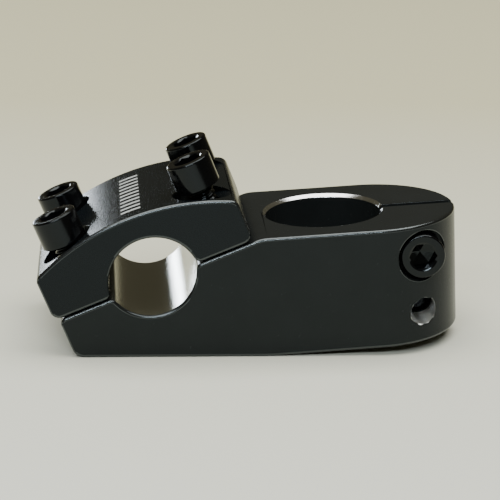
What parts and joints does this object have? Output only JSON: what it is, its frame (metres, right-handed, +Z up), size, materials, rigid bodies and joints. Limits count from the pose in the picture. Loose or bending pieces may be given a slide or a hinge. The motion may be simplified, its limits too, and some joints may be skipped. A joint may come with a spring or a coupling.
{
  "type": "handlebar stem",
  "caption": "Black top-load bicycle stem: split steerer clamp with cross bolts and a curved bolt-on cap over the handlebar hole.",
  "frame": {"origin": "on the surface that the foot stands on, under the middle of the stem's length and width", "axes": "+X from the handlebar clamp towards the steerer clamp (rearwards on the bicycle), +Y along the handlebar to the rider's right, +Z up from the foot"},
  "size_m": [0.1068, 0.043, 0.0493],
  "materials": {
    "black_body": "satin gloss black anodised aluminium, bare metal in the bar hole, in the threads and at the mouths of the steerer hole",
    "black_cap": "satin gloss black anodised aluminium with a fine brushed grain across the crown, bare metal in the bar hole",
    "black_bolt": "gloss black steel socket head screws"
  },
  "bodies": {
    "stem": {"stem_body": "black_body"},
    "cap": {"top_cap": "black_cap"},
    "front_left_bolt": {"cap_bolt_front_left": "black_bolt"},
    "front_right_bolt": {"cap_bolt_front_right": "black_bolt"},
    "rear_left_bolt": {"cap_bolt_rear_left": "black_bolt"},
    "rear_right_bolt": {"cap_bolt_rear_right": "black_bolt"},
    "upper_pinch_bolt": {"pinch_bolt_upper": "black_bolt"},
    "lower_pinch_bolt": {"pinch_bolt_lower": "black_bolt"}
  },
  "joints": [
    {"name": "cap_lift", "type": "slide", "parent": "stem", "child": "cap", "axis": [-0.3907, 0, 0.9205], "range_m": [0, 0.01]},
    {"name": "front_left_bolt_turn", "type": "hinge", "parent": "cap", "child": "front_left_bolt", "pos_m": [-0.04572, -0.0134, 0.02696], "axis": [-0.3907, 0, 0.9205], "range_deg": [0, 2880]},
    {"name": "front_right_bolt_turn", "type": "hinge", "parent": "cap", "child": "front_right_bolt", "pos_m": [-0.04521, 0.0134, 0.02576], "axis": [-0.3907, 0, 0.9205], "range_deg": [0, 2880]},
    {"name": "rear_left_bolt_turn", "type": "hinge", "parent": "cap", "child": "rear_left_bolt", "pos_m": [-0.01376, -0.0134, 0.04074], "axis": [-0.3907, 0, 0.9205], "range_deg": [0, 2880]},
    {"name": "rear_right_bolt_turn", "type": "hinge", "parent": "cap", "child": "rear_right_bolt", "pos_m": [-0.01294, 0.0134, 0.03881], "axis": [-0.3907, 0, 0.9205], "range_deg": [0, 2880]},
    {"name": "upper_pinch_bolt_draw", "type": "slide", "parent": "stem", "child": "upper_pinch_bolt", "axis": [0, -1, 0], "range_m": [-0.001, 0.03]},
    {"name": "lower_pinch_bolt_draw", "type": "slide", "parent": "stem", "child": "lower_pinch_bolt", "axis": [0, 1, 0], "range_m": [-0.001, 0.03]}
  ],
  "couplings": [
    {"joint": "front_left_bolt_turn", "follows": "cap_lift", "rad_per_m": 5026.5},
    {"joint": "front_right_bolt_turn", "follows": "cap_lift", "rad_per_m": 5026.5},
    {"joint": "rear_left_bolt_turn", "follows": "cap_lift", "rad_per_m": 5026.5},
    {"joint": "rear_right_bolt_turn", "follows": "cap_lift", "rad_per_m": 5026.5}
  ]
}
